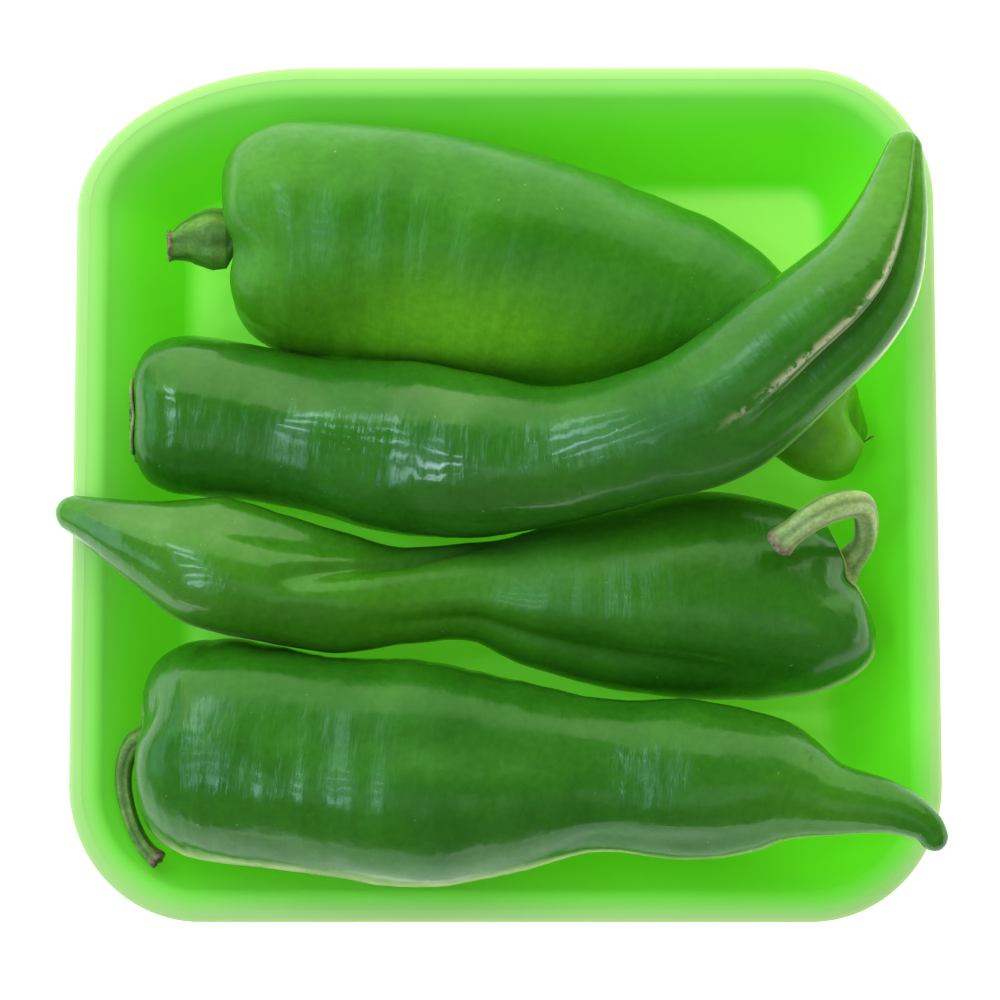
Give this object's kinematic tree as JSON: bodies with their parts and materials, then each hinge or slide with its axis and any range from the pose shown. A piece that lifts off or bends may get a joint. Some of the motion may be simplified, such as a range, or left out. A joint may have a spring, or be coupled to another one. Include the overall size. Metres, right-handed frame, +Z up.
{
  "type": "bell pepper in a tray",
  "caption": "Long tapered green peppers with curled stems, lying side by side in a square tray with leaning walls and a narrow rim.",
  "frame": {"origin": "centre of the tray's underside, on the surface it stands on", "axes": "+Z up, +X along the peppers, +Y across them towards the broad pepper"},
  "size_m": [0.1932, 0.189, 0.0653],
  "materials": {
    "tray": "satin, slightly translucent",
    "light_skin": "waxy and glossy",
    "dark_skin": "waxy and glossy",
    "stem": "matt, ribbed"
  },
  "bodies": {
    "root": {"tray": "tray", "broad_pepper": "light_skin", "broad_pepper_stem": "stem", "curved_pepper": "dark_skin", "curved_pepper_stem": "stem", "twisted_pepper": "dark_skin", "twisted_pepper_stem": "stem", "pointed_pepper": "dark_skin", "pointed_pepper_stem": "stem"}
  },
  "joints": []
}
